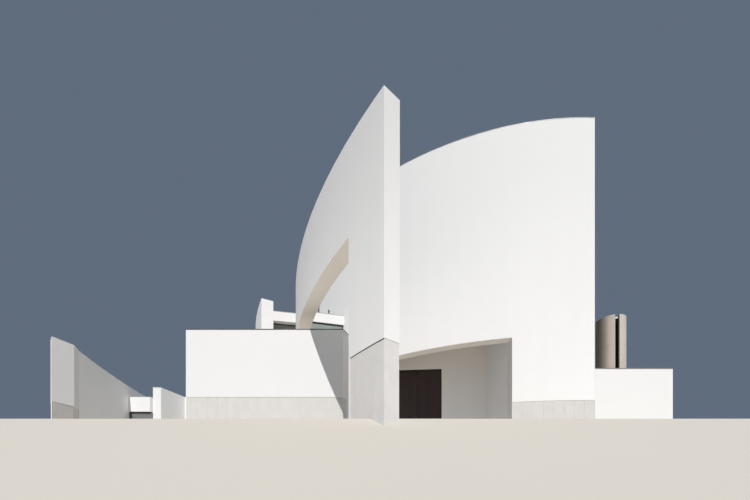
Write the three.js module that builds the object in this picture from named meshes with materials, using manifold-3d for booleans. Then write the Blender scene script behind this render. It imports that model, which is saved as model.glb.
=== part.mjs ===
import * as THREE from 'three';
import { mergeVertices } from 'three/addons/utils/BufferGeometryUtils.js';
import Module from 'manifold-3d';

// Modern church of white rendered walls: a curved nave, a free curved fin in front of it, a low
// block, a side annex with a round shaft, and a low wing. Millimetres, +Z up, the square lies
// towards -Y. The origin is the centre of the nave's curve, at the lowest ground the walls meet.

// Levels above the lowest ground
const PLAZA = 300;
const STONE_TOP = 2220;
const GAP = 0.3;
const CURVE_GAP = 12;

// Walls
const WALL = 500;
const THIN_WALL = 300;
const SLAB = 300;
const PARAPET = 480;
const STONE_INSET = 15;

// Nave: half of a drum, closed by a straight wall on the +X side
const NAVE = { radius: 14580, top: 13980, side: 320, stoneTop: 2280 };
const FACET_DEG = 2.5;
const REAR_SPLIT = [-85, -132.5];

// Porch cut through the front of the drum
const PORCH = { from: -36.5, to: -11.8, lintel: 5010, ceiling: 6400, ceilingSlab: 200 };

// Entrance doorway in the porch's rear wall
const DOOR = { x: -6557, y: -10467, turn: -4.56, width: 2600, top: 5050, frame: 60, leaf: 60 };
const DOOR_RUN = { jamb: 8, centre: 10, floor: 10, head: 8 };
const HINGE = { radius: 12, stand: 14, lug: 16, height: 110, levels: [700, 2550, 4500] };

// Curved fin in front of the nave: a pier, a long lintel and a rear wall on one circle
const FIN = { x: 7630, y: -7270, radius: 20800, wall: 540, top: 8550, lintel: 5720 };
const FIN_ANGLE = { nose: 38.95, jamb: 34.4, lintelEnd: 10, tail: -5, slotFrom: -7, slotTo: 16 };
const FIN_FACET_DEG = 2;
const FIN_JAMB_STRIP = 75;

// Ambulatory: a lower wall on a wider circle of its own, with a flat roof between it and the nave
const RING = {
  x: 2979, y: -1477, radius: 20000, wall: 600, top: 8550, start: -61.65, roofTop: 8050, fascia: 500,
};
const RING_SPLIT = [-95, -137.5];
const REAR_END = -182;

// The roof's edge towards the square: straight on each side of the fin, with a step inside the fin
const FASCIA = { step: -12660, leftRise: 0.205, rightRise: 0.25, rightEnd: -45.65 };
const GLASS = { leftSetBack: 330, rightSetBack: 80, thickness: 40 };
const GLASS_SECTOR = { from: -30, to: -75 };

// Low block between the fin and the ambulatory
const BLOCK = { left: -16245, right: -10035, front: -15220, top: 4913, roofTop: 4613 };
const BLOCK_SIDE_END = -36.7;
const BLOCK_SECTOR = { from: -20, to: -89 };
const BLOCK_REAR = { wall: -6500, roof: -5000, underGlass: 60 };

// Annex and round shaft on the +X side
const ANNEX = { right: 3540, rear: -5200, top: 3600, roofTop: 3330 };
const SHAFT = { radius: 716, y: -9634, top: 8065, wall: 170, slot: 215, slotTurn: -8, sides: 40 };

// Low wing on the -X side
const WING_TOP = 4890;
const WING = { front: -6060, rear: 0, roofTop: 4600, lintel: 3910, pier: 600, paneSetBack: 120 };
const WING_LEFT = { near: [-22030, -8070], nearRight: [-21580, -8020], slope: 0.18 };
const LANE = { y: -8270, depth: 260, top: 4246, lintel: 3380, paneSetBack: 110 };
const LEFT_CURVE = { near: [-22130, -13230], mid: [-22950, -10100], far: [-23720, -5900] };
const RETURN = { corner: [-22080, -14650], tip: [-22470, -14270], inner: [-21858, -13817] };
const RETURN_MIDDLE = [-22180, -13930];

// How far a cutting solid runs past what it cuts, and how far pieces run into one before the cut
const REACH = 9000;
const OVERRUN = 2500;
const ALL_BUT_PLUS_X = { from: 60, to: -240 };

const wasm = await Module();
wasm.setup();

const white = () => new THREE.MeshStandardMaterial({ color: 0xf1efea, roughness: 0.85, metalness: 0 });
const stone = () => new THREE.MeshStandardMaterial({ color: 0xd9d6cf, roughness: 0.7, metalness: 0 });
const concrete = () => new THREE.MeshStandardMaterial({ color: 0xb3a895, roughness: 0.9, metalness: 0 });
const membrane = () => new THREE.MeshStandardMaterial({ color: 0x9a9a98, roughness: 0.9, metalness: 0 });
const glass = () => new THREE.MeshStandardMaterial({ color: 0x3e4a48, roughness: 0.1, metalness: 0 });
const darkWood = () => new THREE.MeshStandardMaterial({ color: 0x2c2220, roughness: 0.5, metalness: 0 });
const darkMetal = () => new THREE.MeshStandardMaterial({ color: 0x33302e, roughness: 0.5, metalness: 0.6 });

const church = new THREE.Group();
church.name = 'church';

function add(name, geometry, material, parent = church) {
  const mesh = new THREE.Mesh(geometry, material);
  mesh.name = name;
  parent.add(mesh);
  return mesh;
}

// A prism standing on a plan outline, from one level to another
function prism(outline, bottom, top) {
  const shape = new THREE.Shape(outline.map(([x, y]) => new THREE.Vector2(x, y)));
  const geometry = new THREE.ExtrudeGeometry(shape, { depth: top - bottom, bevelEnabled: false });
  geometry.translate(0, 0, bottom);
  return geometry;
}

function rectangle(x0, x1, y0, y1) {
  return [[x0, y0], [x1, y0], [x1, y1], [x0, y1]];
}

function solid(geometry) {
  const bare = geometry.clone();
  bare.deleteAttribute('normal');
  bare.deleteAttribute('uv');
  const merged = mergeVertices(bare, 0.01);
  return new wasm.Manifold(new wasm.Mesh({
    numProp: 3,
    vertProperties: new Float32Array(merged.attributes.position.array),
    triVerts: new Uint32Array(merged.index.array),
  }));
}

function geometryOf(body) {
  const mesh = body.getMesh();
  const geometry = new THREE.BufferGeometry();
  geometry.setAttribute('position', new THREE.BufferAttribute(mesh.vertProperties, 3));
  geometry.setIndex(new THREE.BufferAttribute(mesh.triVerts, 1));
  geometry.computeVertexNormals();
  return geometry;
}

function joined(first, ...others) {
  return geometryOf(others.reduce((body, other) => body.add(solid(other)), solid(first)));
}

function cutBy(geometry, ...cutters) {
  return geometryOf(cutters.reduce((body, cutter) => body.subtract(cutter), solid(geometry)));
}

// Curved walls are many-sided: each circle has a corner at every whole multiple of its step, so
// that arcs round one centre run parallel. This is the radius of such a figure at an angle.
function facetRadius(radius, deg, step) {
  const middle = (Math.floor(deg / step) + 0.5) * step;
  const flat = radius * Math.cos(THREE.MathUtils.degToRad(step / 2));
  return flat / Math.cos(THREE.MathUtils.degToRad(deg - middle));
}

// The two ends of an arc, with the corners between them
function cornerAngles(from, to, step) {
  const low = Math.min(from, to);
  const high = Math.max(from, to);
  const angles = [low];
  for (let i = Math.ceil(low / step); i * step < high - 0.05; i += 1) {
    if (i * step > low + 0.05) angles.push(i * step);
  }
  angles.push(high);
  return from < to ? angles : angles.reverse();
}

// What is set out round a centre: 0 degrees faces the square, -90 faces -X. A sector is the floor
// area between two angles, for cutting, and angleAtX is where a circle's front half reaches an x.
function circleAt(x, y) {
  const point = (radius, deg) => {
    const a = THREE.MathUtils.degToRad(deg);
    const r = facetRadius(radius, deg, FACET_DEG);
    return [x + r * Math.sin(a), y - r * Math.cos(a)];
  };
  const arc = (radius, from, to) => cornerAngles(from, to, FACET_DEG).map((deg) => point(radius, deg));
  const wall = (radius, thickness, from, to, bottom, top) => prism(
    [...arc(radius, from, to), ...arc(radius - thickness, to, from)], bottom, top);
  const sector = (radius, { from, to }) => solid(prism(
    [...arc(radius, from, to), [x, y]], -1, NAVE.top + 1));
  const angleAtX = (radius, atX) => THREE.MathUtils.radToDeg(Math.asin((atX - x) / radius));
  return { point, arc, wall, sector, angleAtX };
}

const drum = circleAt(0, 0);
const ring = circleAt(RING.x, RING.y);

// Nave walls. Radial joints of 0.3 mm keep the segments apart.
const inner = NAVE.radius - WALL;
const jointDeg = THREE.MathUtils.radToDeg(GAP / NAVE.radius);
const frontEnd = drum.angleAtX(NAVE.radius, NAVE.side);
const rearEnd = -180 - frontEnd;

// The porch's right jamb lies in the plane of its side wall, not on a radius
const porchSide = drum.point(NAVE.radius, PORCH.to)[0];
const overRadius = PORCH.to - 1;
const leftOfJamb = solid(prism(rectangle(-NAVE.radius, porchSide, -NAVE.radius, 0), -1, NAVE.top + 1));
const rightOfJamb = solid(prism(rectangle(porchSide - GAP, NAVE.radius, -NAVE.radius, 0), -1, NAVE.top + 1));
add('drum_stone_base', cutBy(drum.wall(NAVE.radius - STONE_INSET, WALL - STONE_INSET,
  overRadius, frontEnd, 0, NAVE.stoneTop - GAP), leftOfJamb), stone());
add('drum_wall_front', cutBy(drum.wall(NAVE.radius, WALL, overRadius, frontEnd,
  NAVE.stoneTop, NAVE.top), leftOfJamb), white());
add('drum_wall_over_porch', cutBy(drum.wall(NAVE.radius, WALL, PORCH.from, PORCH.to,
  PORCH.lintel, NAVE.top), rightOfJamb), white());
add('drum_wall_left', drum.wall(NAVE.radius, WALL, REAR_SPLIT[0], PORCH.from - jointDeg,
  0, NAVE.top), white());
add('drum_wall_rear_left', drum.wall(NAVE.radius, WALL, REAR_SPLIT[1], REAR_SPLIT[0] - jointDeg,
  0, NAVE.top), white());
add('drum_wall_rear', drum.wall(NAVE.radius, WALL, rearEnd, REAR_SPLIT[1] - jointDeg, 0, NAVE.top), white());

const sideEnd = Math.sqrt(inner ** 2 - NAVE.side ** 2) - 10;
add('nave_side_wall', prism(rectangle(NAVE.side - WALL, NAVE.side, -sideEnd, sideEnd),
  NAVE.stoneTop, NAVE.top), white());
add('nave_side_stone_base', prism(rectangle(NAVE.side - WALL, NAVE.side - STONE_INSET, -sideEnd, sideEnd),
  0, NAVE.stoneTop - GAP), stone());

// Nave roof and floor. The floor runs out to the drum's face in the porch.
const roomRadius = inner - GAP;
const roomSide = NAVE.side - WALL - GAP;
const roomFront = drum.angleAtX(roomRadius, roomSide);
add('nave_roof', prism(drum.arc(roomRadius, roomFront, -180 - roomFront),
  NAVE.top - PARAPET - SLAB, NAVE.top - PARAPET), membrane());
add('nave_floor', prism([
  ...drum.arc(roomRadius, roomFront, drum.angleAtX(roomRadius, porchSide) - 0.02),
  ...drum.arc(NAVE.radius, PORCH.to - 0.02, PORCH.from + 0.02),
  ...drum.arc(roomRadius, PORCH.from + 0.02, -180 - roomFront),
], 0, PLAZA), stone());

// What stands inside each curved wall's face, for cutting the pieces that meet it
const naveCore = drum.sector(NAVE.radius + GAP, ALL_BUT_PLUS_X);
const ringInner = RING.radius - RING.wall - GAP;
const ringCore = ring.sector(RING.radius + GAP, ALL_BUT_PLUS_X);

// Porch: side wall, rear wall round the doorway, ceiling
const porchFront = -Math.sqrt(roomRadius ** 2 - porchSide ** 2) + CURVE_GAP;
const turn = THREE.MathUtils.degToRad(DOOR.turn);
const entrance = new THREE.Group();
entrance.position.set(DOOR.x, DOOR.y, 0);
entrance.rotation.z = turn;
church.add(entrance);

// Plan position of a point on the rear wall: u along it, v into the nave
function rearWallPoint(u, v) {
  return [
    DOOR.x + u * Math.cos(turn) - v * Math.sin(turn),
    DOOR.y + u * Math.sin(turn) + v * Math.cos(turn),
  ];
}

// How far left the rear wall runs, at v behind its face, before it meets the drum
function rearWallLeft(v) {
  const [x, y] = rearWallPoint(0, v);
  const along = x * Math.cos(turn) + y * Math.sin(turn);
  return -along - Math.sqrt(along ** 2 - x ** 2 - y ** 2 + (roomRadius - CURVE_GAP) ** 2);
}

const half = DOOR.width / 2;
const wallEnd = (porchSide - DOOR.x) / Math.cos(turn) - 2;
const sideRear = rearWallPoint(wallEnd + THIN_WALL * Math.tan(turn), THIN_WALL)[1];
add('porch_side_wall', prism(rectangle(porchSide, porchSide + THIN_WALL, porchFront, sideRear),
  PLAZA + GAP, PORCH.ceiling - GAP), white());
const wallEndRear = wallEnd + THIN_WALL * Math.tan(turn);
add('porch_wall_right', prism([[half, 0], [wallEnd, 0], [wallEndRear, THIN_WALL], [half, THIN_WALL]],
  PLAZA + GAP, PORCH.ceiling - GAP), white(), entrance);
const leftEndRear = rearWallLeft(THIN_WALL);
add('porch_wall_left', prism([[rearWallLeft(0), 0], [-half, 0], [-half, THIN_WALL], [leftEndRear, THIN_WALL]],
  PLAZA + GAP, PORCH.ceiling - GAP), white(), entrance);
add('porch_wall_over_door', prism(rectangle(-half + GAP, half - GAP, 0, THIN_WALL),
  DOOR.top, PORCH.ceiling - GAP), white(), entrance);

const ceilingRight = porchSide + THIN_WALL;
const ceilingLeft = drum.angleAtX(roomRadius, rearWallPoint(leftEndRear, THIN_WALL)[0]);
add('porch_ceiling', prism([
  ...drum.arc(roomRadius, drum.angleAtX(roomRadius, ceilingRight), ceilingLeft),
  rearWallPoint(wallEnd, THIN_WALL),
  [ceilingRight, sideRear],
], PORCH.ceiling, PORCH.ceiling + PORCH.ceilingSlab), white());

// Door frame and two leaves that open into the nave, each on three knuckle hinges
const frameInner = half - DOOR.frame;
const doorHead = DOOR.top - DOOR.frame;
const LEAF_FRONT = 60;
const frameDepth = LEAF_FRONT + DOOR.leaf;
const hingeU = frameInner - DOOR_RUN.jamb / 2;
const hingeV = frameDepth + HINGE.stand;

// A knuckle round the hinge line, with the lug that fixes it: side is -1 or 1, and the lug
// reaches towards the frame or towards the leaf
function knuckle(side, towards, bottom, top) {
  const barrel = new THREE.CylinderGeometry(HINGE.radius, HINGE.radius, top - bottom, 12);
  barrel.rotateX(Math.PI / 2);
  barrel.translate(side * hingeU, hingeV, (top + bottom) / 2);
  const near = hingeU + towards * DOOR_RUN.jamb / 2;
  const far = near + towards * HINGE.lug;
  const us = [side * near, side * far].sort((a, b) => a - b);
  const lug = prism(rectangle(us[0], us[1], frameDepth - 2, hingeV), bottom, top);
  return solid(barrel).add(solid(lug));
}

let frameBody = solid(prism(rectangle(-half + GAP, half - GAP, 0, frameDepth), PLAZA + GAP, DOOR.top - GAP))
  .subtract(solid(prism(rectangle(-frameInner, frameInner, -1, frameDepth + 1), PLAZA - 1, doorHead)));
for (const side of [-1, 1]) {
  for (const level of HINGE.levels) {
    frameBody = frameBody.add(knuckle(side, 1, level - HINGE.height, level));
  }
}
add('door_frame', geometryOf(frameBody), darkMetal(), entrance);
for (const [name, side] of [['door_leaf_left', -1], ['door_leaf_right', 1]]) {
  const us = [side * (frameInner - DOOR_RUN.jamb), side * DOOR_RUN.centre / 2].sort((a, b) => a - b);
  let leaf = solid(prism(rectangle(us[0], us[1], LEAF_FRONT, frameDepth),
    PLAZA + DOOR_RUN.floor, doorHead - DOOR_RUN.head));
  for (const level of HINGE.levels) {
    leaf = leaf.add(knuckle(side, -1, level + GAP, level + HINGE.height));
  }
  add(name, geometryOf(leaf), darkWood(), entrance);
}

// Fin. Angles run from the -X direction towards the square.
function finPoint(radius, deg) {
  const a = THREE.MathUtils.degToRad(deg);
  const r = facetRadius(radius, deg, FIN_FACET_DEG);
  return [FIN.x - r * Math.cos(a), FIN.y - r * Math.sin(a)];
}

function finArc(radius, from, to) {
  return cornerAngles(from, to, FIN_FACET_DEG).map((deg) => finPoint(radius, deg));
}

function finWall(from, to, bottom, top, inset = 0) {
  return prism([
    ...finArc(FIN.radius - inset, from, to),
    ...finArc(FIN.radius - FIN.wall + inset, to, from),
  ], bottom, top);
}

const finJoint = THREE.MathUtils.radToDeg(GAP / FIN.radius);
const finStrip = THREE.MathUtils.radToDeg(FIN_JAMB_STRIP / FIN.radius);
const noseInset = THREE.MathUtils.radToDeg(STONE_INSET / FIN.radius);
add('fin_pier', joined(
  finWall(FIN_ANGLE.jamb, FIN_ANGLE.nose, STONE_TOP, FIN.top),
  finWall(FIN_ANGLE.jamb, FIN_ANGLE.jamb + finStrip, 0, STONE_TOP + 1),
), white());
add('fin_stone_base', finWall(FIN_ANGLE.jamb + finStrip + finJoint, FIN_ANGLE.nose - noseInset,
  0, STONE_TOP - GAP, STONE_INSET), stone());
add('fin_lintel', finWall(FIN_ANGLE.lintelEnd + finJoint, FIN_ANGLE.jamb - finJoint,
  FIN.lintel, FIN.top), white());
add('fin_rear_wall', cutBy(finWall(FIN_ANGLE.tail, FIN_ANGLE.lintelEnd, 0, FIN.top), naveCore), white());

// Ambulatory walls
const ringJoint = THREE.MathUtils.radToDeg(GAP / RING.radius);
add('ring_wall_left', ring.wall(RING.radius, RING.wall, RING_SPLIT[0], RING.start, 0, RING.top), white());
add('ring_wall_rear_left', ring.wall(RING.radius, RING.wall, RING_SPLIT[1], RING_SPLIT[0] - ringJoint,
  0, RING.top), white());
const pastAtRear = (x) => solid(prism(rectangle(x, REACH, NAVE.radius - WALL, RING.radius), -1, NAVE.top));
add('ring_wall_rear', cutBy(ring.wall(RING.radius, RING.wall, REAR_END, RING_SPLIT[1] - ringJoint,
  0, RING.top), pastAtRear(NAVE.side)), white());
const ringShell = ring.sector(RING.radius + REACH, ALL_BUT_PLUS_X)
  .subtract(ring.sector(ringInner, ALL_BUT_PLUS_X));
const endWallInner = NAVE.side - THIN_WALL;
add('ring_end_wall', cutBy(prism(rectangle(endWallInner, NAVE.side, NAVE.radius - WALL, RING.radius),
  0, RING.top), naveCore, ringShell), white());

// Ambulatory roof, cut by the fin's rear wall, with its fascia towards the square
const leftEdge = { side: -1, from: ring.point(ringInner, RING.start), rise: FASCIA.leftRise };
const rightEdge = { side: 1, from: drum.point(NAVE.radius + GAP, FASCIA.rightEnd), rise: FASCIA.rightRise };
const atStep = ({ from, rise }) => [FASCIA.step, from[1] + rise * (FASCIA.step - from[0])];
const roofOutline = [
  leftEdge.from,
  atStep(leftEdge),
  atStep(rightEdge),
  rightEdge.from,
  ...drum.arc(NAVE.radius + GAP, FASCIA.rightEnd, REAR_END).slice(1),
  ...ring.arc(ringInner, REAR_END, RING.start).slice(0, -1),
];
const ringRoof = prism(roofOutline, RING.roofTop - RING.fascia, RING.roofTop);
const finClearance = (to) => prism([
  ...finArc(FIN.radius + GAP, FIN_ANGLE.slotFrom, to),
  ...finArc(FIN.radius - FIN.wall - GAP, to, FIN_ANGLE.slotFrom),
], -1, FIN.top + 1);
const finSlot = finClearance(FIN_ANGLE.slotTo);
const roofPieces = solid(ringRoof).subtract(solid(finSlot))
  .subtract(pastAtRear(endWallInner - GAP)).decompose();
const byReach = roofPieces.map((piece) => [piece, piece.volume()]).sort((a, b) => b[1] - a[1]);
add('ring_roof_left', geometryOf(byReach[0][0]), membrane());
add('ring_roof_right', geometryOf(byReach[1][0]), membrane());

// What lies from one distance to another behind an edge, on the edge's own side of the step
function behindEdge({ side, from, rise }, near, far, bottom, top) {
  const run = new THREE.Vector2(1, rise).normalize();
  const corner = (along, behind) => [
    from[0] + run.x * along - run.y * behind,
    from[1] + run.y * along + run.x * behind,
  ];
  return solid(prism([corner(-REACH, near), corner(REACH, near), corner(REACH, far), corner(-REACH, far)],
    bottom, top)).trimByPlane([side, 0, 0], side * FASCIA.step);
}

// Glazing under the fascia, standing on the block's roof
const ringSpace = solid(prism([
  ...drum.arc(NAVE.radius + GAP, GLASS_SECTOR.from, GLASS_SECTOR.to),
  ...ring.arc(ringInner, GLASS_SECTOR.to, GLASS_SECTOR.from),
], 0, RING.top)).subtract(solid(finSlot));
function pane(edge, setBack) {
  return geometryOf(behindEdge(edge, setBack, setBack + GLASS.thickness,
    BLOCK.roofTop + GAP, RING.roofTop - RING.fascia - GAP).intersect(ringSpace));
}
add('clerestory_glass_left', pane(leftEdge, GLASS.leftSetBack), glass());
add('clerestory_glass_right', pane(rightEdge, GLASS.rightSetBack), glass());

// Low block
const blockSideEnd = drum.point(NAVE.radius, BLOCK_SIDE_END);
const sideRun = new THREE.Vector2(blockSideEnd[0] - BLOCK.right, blockSideEnd[1] - BLOCK.front).normalize();
const sideIn = new THREE.Vector2(-sideRun.y, sideRun.x);
const blockInnerFront = BLOCK.front + THIN_WALL;
function alongSide(distance, inset) {
  return [
    BLOCK.right + sideRun.x * distance + sideIn.x * inset,
    BLOCK.front + sideRun.y * distance + sideIn.y * inset,
  ];
}
const sideLength = Math.hypot(blockSideEnd[0] - BLOCK.right, blockSideEnd[1] - BLOCK.front);
const sideStart = THIN_WALL / sideRun.y;
add('block_front_wall', prism([
  [BLOCK.left, BLOCK.front], [BLOCK.right, BLOCK.front],
  alongSide(sideStart, 0), [BLOCK.left, blockInnerFront],
], STONE_TOP, BLOCK.top), white());
add('block_stone_base', prism([
  [BLOCK.left, BLOCK.front + STONE_INSET], [BLOCK.right - STONE_INSET, BLOCK.front + STONE_INSET],
  alongSide(sideStart, STONE_INSET), [BLOCK.left, blockInnerFront],
], 0, STONE_TOP - GAP), stone());
const frontStrip = prism(rectangle(BLOCK.left, 0, BLOCK.front, blockInnerFront + GAP), -1, BLOCK.top + 1);
add('block_right_wall', cutBy(prism([
  alongSide(sideStart + GAP, 0), alongSide(sideLength + THIN_WALL, 0),
  alongSide(sideLength + THIN_WALL, THIN_WALL), alongSide(sideStart, THIN_WALL),
], 0, BLOCK.top), naveCore, solid(frontStrip)), white());
add('block_left_wall', cutBy(prism(rectangle(BLOCK.left, BLOCK.left + THIN_WALL,
  blockInnerFront + GAP, BLOCK_REAR.wall), 0, BLOCK.top), ringCore), white());

const wholeRoof = prism(rectangle(BLOCK.left + THIN_WALL + GAP, BLOCK.right + OVERRUN,
  blockInnerFront + GAP, BLOCK_REAR.roof), BLOCK.roofTop - SLAB, BLOCK.roofTop);
const outsideSide = prism([
  alongSide(-OVERRUN, THIN_WALL + GAP), alongSide(-OVERRUN, -REACH),
  alongSide(REACH, -REACH), alongSide(REACH, THIN_WALL + GAP),
], 0, NAVE.top);
const paneRear = GLASS.thickness + BLOCK_REAR.underGlass;
const behindGlass = behindEdge(leftEdge, GLASS.leftSetBack + paneRear, REACH, 0, NAVE.top)
  .add(behindEdge(rightEdge, GLASS.rightSetBack + paneRear, REACH, 0, NAVE.top));
const ringBand = ring.wall(RING.radius + GAP, RING.wall + 2 * GAP, BLOCK_SECTOR.to,
  RING.start + ringJoint, 0, NAVE.top);
const blockRoofSolid = solid(wholeRoof)
  .subtract(solid(outsideSide))
  .subtract(drum.sector(NAVE.radius + GAP, BLOCK_SECTOR))
  .subtract(solid(ringBand))
  .subtract(solid(finClearance(FIN_ANGLE.lintelEnd + finJoint)))
  .subtract(ring.sector(ringInner, BLOCK_SECTOR).intersect(behindGlass))
  .decompose()
  .map((piece) => [piece, piece.volume()])
  .sort((a, b) => b[1] - a[1])[0][0];
add('block_roof', geometryOf(blockRoofSolid), membrane());

// Annex on the +X side
const annexFront = -NAVE.radius;
const annexInnerLeft = NAVE.side + GAP;
add('annex_front_wall', prism(rectangle(annexInnerLeft, ANNEX.right, annexFront, annexFront + THIN_WALL),
  0, ANNEX.top), white());
add('annex_side_wall', prism(rectangle(ANNEX.right - THIN_WALL, ANNEX.right,
  annexFront + THIN_WALL + GAP, ANNEX.rear), 0, ANNEX.top), white());
add('annex_rear_wall', prism(rectangle(annexInnerLeft, ANNEX.right - THIN_WALL - GAP,
  ANNEX.rear - THIN_WALL, ANNEX.rear), 0, ANNEX.top), white());
add('annex_roof', prism(rectangle(annexInnerLeft, ANNEX.right - THIN_WALL - GAP,
  annexFront + THIN_WALL + GAP, ANNEX.rear - THIN_WALL - GAP),
ANNEX.roofTop - SLAB, ANNEX.roofTop), membrane());

// Round concrete shaft beside the annex, open at the top and along one slot
function shaftPoint(radius, deg) {
  const a = THREE.MathUtils.degToRad(deg);
  return [radius * Math.sin(a), -radius * Math.cos(a)];
}

function shaftOutline() {
  const bore = SHAFT.radius - SHAFT.wall;
  const outerHalf = THREE.MathUtils.radToDeg(Math.asin(SHAFT.slot / 2 / SHAFT.radius));
  const innerHalf = THREE.MathUtils.radToDeg(Math.asin(SHAFT.slot / 2 / bore));
  const outer = [];
  const innerFace = [];
  for (let i = 0; i <= SHAFT.sides; i += 1) {
    const t = i / SHAFT.sides;
    outer.push(shaftPoint(SHAFT.radius, SHAFT.slotTurn + outerHalf + (360 - 2 * outerHalf) * t));
    innerFace.push(shaftPoint(bore, SHAFT.slotTurn + 360 - innerHalf - (360 - 2 * innerHalf) * t));
  }
  const reach = Math.min(...outer.map(([x]) => x));
  return [...outer, ...innerFace].map(([x, y]) => [x - reach + ANNEX.right + GAP, y + SHAFT.y]);
}
add('shaft', prism(shaftOutline(), 0, SHAFT.top), concrete());

// Low walls on the -X side. An arc is given by three plan points it runs through.
function arcThrough(a, b, c, count) {
  const [ax, ay, bx, by, cx, cy] = [...a, ...b, ...c];
  const d = 2 * (ax * (by - cy) + bx * (cy - ay) + cx * (ay - by));
  const sa = ax ** 2 + ay ** 2;
  const sb = bx ** 2 + by ** 2;
  const sc = cx ** 2 + cy ** 2;
  const ox = (sa * (by - cy) + sb * (cy - ay) + sc * (ay - by)) / d;
  const oy = (sa * (cx - bx) + sb * (ax - cx) + sc * (bx - ax)) / d;
  const radius = Math.hypot(ax - ox, ay - oy);
  const start = Math.atan2(ay - oy, ax - ox);
  let sweep = Math.atan2(cy - oy, cx - ox) - start;
  if (sweep > Math.PI) sweep -= 2 * Math.PI;
  if (sweep < -Math.PI) sweep += 2 * Math.PI;
  const at = (r, t) => [ox + r * Math.cos(start + sweep * t), oy + r * Math.sin(start + sweep * t)];
  const line = (r) => Array.from({ length: count + 1 }, (_, i) => at(r, i / count));
  return { radius, line };
}

const leftArc = arcThrough(LEFT_CURVE.near, LEFT_CURVE.mid, LEFT_CURVE.far, 8);
const curveInner = leftArc.line(leftArc.radius);
const curveOuter = leftArc.line(leftArc.radius + WALL).reverse();
add('left_curved_wall', prism([...curveInner, ...curveOuter], 0, WING_TOP), white());
const curveEnd = [curveInner[0], curveOuter[curveOuter.length - 1]];
const curveRun = new THREE.Vector2(...curveInner[1]).sub(new THREE.Vector2(...curveInner[0])).normalize();
const returnJoint = curveEnd.map(([x, y]) => [x - curveRun.x * GAP, y - curveRun.y * GAP]);
const returnOutline = [RETURN.corner, RETURN.inner, returnJoint[0], returnJoint[1], RETURN.tip];
add('left_end_pier', prism(returnOutline, STONE_TOP, WING_TOP), white());
const insetOutline = returnOutline.map(([x, y]) => {
  const dx = RETURN_MIDDLE[0] - x;
  const dy = RETURN_MIDDLE[1] - y;
  const length = Math.hypot(dx, dy);
  return [x + dx / length * 2 * STONE_INSET, y + dy / length * 2 * STONE_INSET];
});
add('left_end_stone_base', prism(insetOutline, 0, STONE_TOP - GAP), stone());

// Wing: left wall, front wall with a wide glazed opening, rear wall and roof
function wingX(y, right) {
  const nearX = right ? WING_LEFT.nearRight[0] : WING_LEFT.near[0];
  return nearX + WING_LEFT.slope * (y - WING_LEFT.near[1]);
}
add('wing_left_wall', prism([
  WING_LEFT.near, WING_LEFT.nearRight,
  [wingX(WING.rear, true), WING.rear], [wingX(WING.rear, false), WING.rear],
], 0, WING_TOP), white());
const wingRight = (y) => RING.x - Math.sqrt(RING.radius ** 2 - (y - RING.y) ** 2);
const wingInner = (y) => wingX(y, true) + GAP;
const wingReach = RING.x - RING.radius + OVERRUN;
const wingFrontLeft = wingInner(WING.front);
const frontRear = WING.front + THIN_WALL;
add('wing_front_wall', cutBy(
  prism([
    [wingFrontLeft, WING.front], [wingReach, WING.front], [wingReach, frontRear],
    [wingInner(frontRear), frontRear],
  ], 0, WING_TOP),
  ringCore,
  solid(prism(rectangle(wingFrontLeft + WING.pier, wingRight(WING.front) - WING.pier,
    WING.front - 10, frontRear + 10), -1, WING.lintel)),
), white());
const paneY = WING.front + WING.paneSetBack;
add('wing_front_glass', prism(rectangle(wingFrontLeft + WING.pier + GAP,
  wingRight(WING.front) - WING.pier - GAP, paneY, paneY + GLASS.thickness), 0, WING.lintel - GAP), glass());
add('wing_rear_wall', cutBy(prism([
  [wingInner(WING.rear - THIN_WALL), WING.rear - THIN_WALL], [wingReach, WING.rear - THIN_WALL],
  [wingReach, WING.rear], [wingInner(WING.rear), WING.rear],
], 0, WING_TOP), ringCore), white());
const wingRoofFront = frontRear + GAP;
const wingRoofRear = WING.rear - THIN_WALL - GAP;
add('wing_roof', cutBy(prism([
  [wingInner(wingRoofFront), wingRoofFront], [wingReach, wingRoofFront],
  [wingReach, wingRoofRear], [wingInner(wingRoofRear), wingRoofRear],
], WING.roofTop - SLAB, WING.roofTop), ringCore), membrane());

// Lane between the curved wall and the wing: a lintel and a glazed screen
const curveClear = solid(prism([
  ...leftArc.line(leftArc.radius - GAP), ...leftArc.line(leftArc.radius + 2 * WALL).reverse(),
], -1, WING_TOP + 1));
function laneStrip(front, depth, bottom, top) {
  const right = (y) => wingX(y, false) - GAP;
  const strip = prism([
    [LEFT_CURVE.far[0], front], [right(front), front], [right(front + depth), front + depth],
    [LEFT_CURVE.far[0], front + depth],
  ], bottom, top);
  return cutBy(strip, curveClear);
}
add('lane_lintel', laneStrip(LANE.y, LANE.depth, LANE.lintel, LANE.top), white());
add('lane_screen', laneStrip(LANE.y + LANE.paneSetBack, GLASS.thickness, 0, LANE.lintel - GAP), glass());

church.updateMatrixWorld(true);

export default church;
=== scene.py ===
"""A modern church of white rendered walls round a curved nave, with a pale stone base.

Metres, Z up; the square lies towards -Y and the origin is the centre of the nave's curve. The
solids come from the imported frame, and the pieces made here are their cladding, cappings, roof
upstands, glazing bars and ironmongery.
"""

import math

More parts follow.
